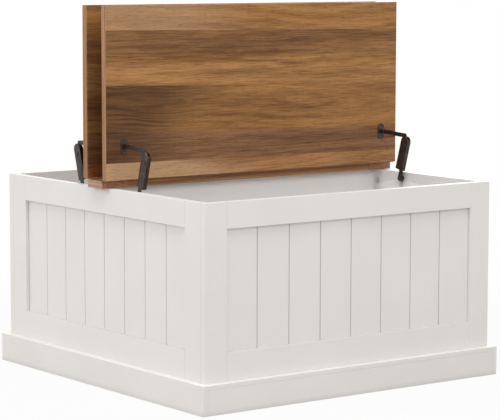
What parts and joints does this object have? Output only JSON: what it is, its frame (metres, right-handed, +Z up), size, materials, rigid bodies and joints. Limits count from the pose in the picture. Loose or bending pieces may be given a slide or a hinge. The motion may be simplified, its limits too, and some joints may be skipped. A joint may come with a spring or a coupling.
{
  "type": "storage coffee table",
  "caption": "Square storage coffee table: a white panelled box on a plinth with wood-look lids that hinge up from a fixed centre bar on folding stays.",
  "frame": {"origin": "on the floor under the middle of the table", "axes": "+X along the front to the right, +Y to the back, +Z up; both lids stand open at rest"},
  "size_m": [0.8, 0.8, 0.8195],
  "materials": {
    "white_paint": "satin white paint on board",
    "walnut_veneer": "satin plank-pattern veneer",
    "bronze_metal": "dark bronze coating",
    "hinge_steel": "plated sheet steel",
    "screw_steel": "zinc plated",
    "cam_zinc": "die-cast zinc"
  },
  "bodies": {
    "carcase": {"back_bottom_rail": "white_paint", "back_hinge_bar_leaves": "hinge_steel", "back_left_stile": "white_paint", "back_panel": "white_paint", "back_right_stile": "white_paint", "back_skirt": "white_paint", "back_top_rail": "white_paint", "bar_hinge_screws": "screw_steel", "base_board": "white_paint", "base_screws": "screw_steel", "cam_bolts": "screw_steel", "cam_locks": "cam_zinc", "centre_bar": "walnut_veneer", "centre_divider": "white_paint", "front_bottom_rail": "white_paint", "front_hinge_bar_leaves": "hinge_steel", "front_left_stile": "white_paint", "front_panel": "white_paint", "front_right_stile": "white_paint", "front_skirt": "white_paint", "front_top_rail": "white_paint", "hinge_pins": "hinge_steel", "left_back_stile": "white_paint", "left_bottom_rail": "white_paint", "left_front_stile": "white_paint", "left_panel": "white_paint", "left_skirt": "white_paint", "left_top_rail": "white_paint", "right_back_stile": "white_paint", "right_bottom_rail": "white_paint", "right_front_stile": "white_paint", "right_panel": "white_paint", "right_skirt": "white_paint", "right_top_rail": "white_paint", "stay_wall_studs": "bronze_metal"},
    "front_lid": {"front_hinge_lid_leaves": "hinge_steel", "front_left_stay_flange": "bronze_metal", "front_lid": "walnut_veneer", "front_lid_screws": "screw_steel", "front_right_stay_flange": "bronze_metal"},
    "back_lid": {"back_hinge_lid_leaves": "hinge_steel", "back_left_stay_flange": "bronze_metal", "back_lid": "walnut_veneer", "back_lid_screws": "screw_steel", "back_right_stay_flange": "bronze_metal"},
    "front_left_stay_arm": {"front_left_stay_arm": "bronze_metal", "front_left_stay_rivet": "bronze_metal"},
    "front_left_stay_link": {"front_left_stay_link": "bronze_metal"},
    "front_right_stay_arm": {"front_right_stay_arm": "bronze_metal", "front_right_stay_rivet": "bronze_metal"},
    "front_right_stay_link": {"front_right_stay_link": "bronze_metal"},
    "back_left_stay_arm": {"back_left_stay_arm": "bronze_metal", "back_left_stay_rivet": "bronze_metal"},
    "back_left_stay_link": {"back_left_stay_link": "bronze_metal"},
    "back_right_stay_arm": {"back_right_stay_arm": "bronze_metal", "back_right_stay_rivet": "bronze_metal"},
    "back_right_stay_link": {"back_right_stay_link": "bronze_metal"}
  },
  "joints": [
    {"name": "front_lid_hinge", "type": "hinge", "parent": "carcase", "child": "front_lid", "pos_m": [0, -0.0285, 0.448], "axis": [1, 0, 0], "range_deg": [0, 90]},
    {"name": "front_left_stay_arm_pivot", "type": "hinge", "parent": "carcase", "child": "front_left_stay_arm", "pos_m": [-0.35685, -0.1085, 0.417], "axis": [1, 0, 0], "range_deg": [0, 90]},
    {"name": "front_left_stay_link_pivot", "type": "hinge", "parent": "front_lid", "child": "front_left_stay_link", "pos_m": [-0.35685, -0.0535, 0.522], "axis": [1, 0, 0], "range_deg": [-90, 0]},
    {"name": "front_right_stay_arm_pivot", "type": "hinge", "parent": "carcase", "child": "front_right_stay_arm", "pos_m": [0.35685, -0.1085, 0.417], "axis": [1, 0, 0], "range_deg": [0, 90]},
    {"name": "front_right_stay_link_pivot", "type": "hinge", "parent": "front_lid", "child": "front_right_stay_link", "pos_m": [0.35685, -0.0535, 0.522], "axis": [1, 0, 0], "range_deg": [-90, 0]},
    {"name": "back_lid_hinge", "type": "hinge", "parent": "carcase", "child": "back_lid", "pos_m": [0, 0.0285, 0.448], "axis": [-1, 0, 0], "range_deg": [0, 90]},
    {"name": "back_left_stay_arm_pivot", "type": "hinge", "parent": "carcase", "child": "back_left_stay_arm", "pos_m": [-0.35685, 0.1085, 0.417], "axis": [-1, 0, 0], "range_deg": [0, 90]},
    {"name": "back_left_stay_link_pivot", "type": "hinge", "parent": "back_lid", "child": "back_left_stay_link", "pos_m": [-0.35685, 0.0535, 0.522], "axis": [-1, 0, 0], "range_deg": [-90, 0]},
    {"name": "back_right_stay_arm_pivot", "type": "hinge", "parent": "carcase", "child": "back_right_stay_arm", "pos_m": [0.35685, 0.1085, 0.417], "axis": [-1, 0, 0], "range_deg": [0, 90]},
    {"name": "back_right_stay_link_pivot", "type": "hinge", "parent": "back_lid", "child": "back_right_stay_link", "pos_m": [0.35685, 0.0535, 0.522], "axis": [-1, 0, 0], "range_deg": [-90, 0]}
  ],
  "couplings": [
    {"joint": "front_left_stay_arm_pivot", "follows": "front_lid_hinge", "ratio": 1},
    {"joint": "front_left_stay_link_pivot", "follows": "front_lid_hinge", "ratio": -1},
    {"joint": "front_right_stay_arm_pivot", "follows": "front_lid_hinge", "ratio": 1},
    {"joint": "front_right_stay_link_pivot", "follows": "front_lid_hinge", "ratio": -1},
    {"joint": "back_left_stay_arm_pivot", "follows": "back_lid_hinge", "ratio": 1},
    {"joint": "back_left_stay_link_pivot", "follows": "back_lid_hinge", "ratio": -1},
    {"joint": "back_right_stay_arm_pivot", "follows": "back_lid_hinge", "ratio": 1},
    {"joint": "back_right_stay_link_pivot", "follows": "back_lid_hinge", "ratio": -1}
  ]
}
